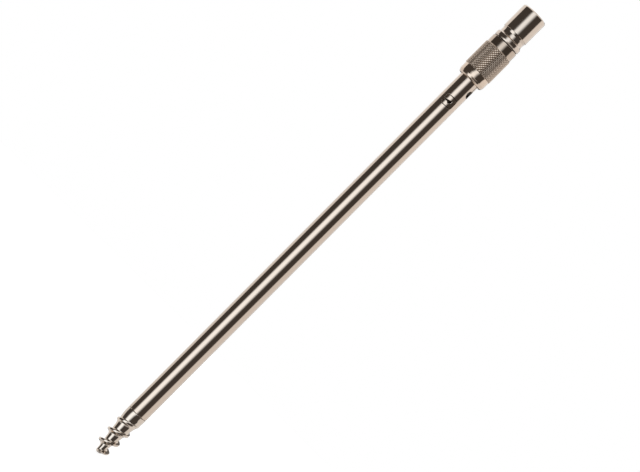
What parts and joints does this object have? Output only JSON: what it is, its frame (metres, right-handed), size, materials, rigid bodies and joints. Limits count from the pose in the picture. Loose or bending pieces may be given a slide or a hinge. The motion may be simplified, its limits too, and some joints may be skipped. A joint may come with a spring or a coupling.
{
  "type": "telescopic screw-point bank stick",
  "caption": "Telescopic steel bank stick: auger ground point, tubular body, knurled twist-lock collar, sliding inner stem and threaded accessory head.",
  "frame": {"origin": "the tip of the screw point, on the tool's axis, at the bottom of the closed tool", "axes": "+Z along the tool from the screw point to the head; -Y faces the front window of the tube to within 4 degrees; +X is to the right seen from -Y"},
  "size_m": [0.0232, 0.0232, 0.442],
  "materials": {
    "polished_steel": "mirror-polished stainless steel with a warm tint, fine lengthwise hairlines and thumb marks",
    "point_steel": "polished stainless steel, slightly duller in the roots of the auger flight",
    "knurled_steel": "turned and polished stainless steel with a diamond knurl between plain polished bands",
    "stem_steel": "polished stainless steel tube with fine slide marks along its length",
    "head_steel": "turned and mirror-polished stainless steel",
    "brass": "machined, satin",
    "alloy": "machined, satin",
    "zinc_steel": "bright zinc plate",
    "nylon": "natural nylon, semi-matt",
    "black_rubber": "matt black nitrile rubber"
  },
  "bodies": {
    "outer": {"screw_point": "point_steel", "spigot_seal": "black_rubber", "outer_tube": "polished_steel", "bump_stop": "black_rubber", "stop_sleeve": "stem_steel", "thread_bush": "brass", "grip_collet": "nylon", "thrust_washer": "brass"},
    "collar": {"locking_collar": "knurled_steel", "wiper_seal": "black_rubber", "wiper_retainer": "zinc_steel"},
    "guide": {"guide_bush": "nylon", "guide_oring_lower": "black_rubber", "guide_oring_upper": "black_rubber"},
    "stem": {"inner_stem": "stem_steel", "stem_end_plug": "alloy", "guide_washer": "zinc_steel", "guide_screw": "zinc_steel", "head_body": "head_steel", "socket_insert": "brass", "head_buffer_ring": "black_rubber"}
  },
  "joints": [
    {"name": "collar_twist", "type": "hinge", "parent": "outer", "child": "collar", "pos_m": [0, 0, 0.3754], "axis": [0, 0, 1], "range_deg": [0, 90]},
    {"name": "stem_slide", "type": "slide", "parent": "outer", "child": "guide", "axis": [0, 0, 1], "range_m": [0, 0.262]},
    {"name": "stem_turn", "type": "hinge", "parent": "guide", "child": "stem", "pos_m": [0, 0, 0.0843], "axis": [0, 0, 1], "continuous": true}
  ]
}
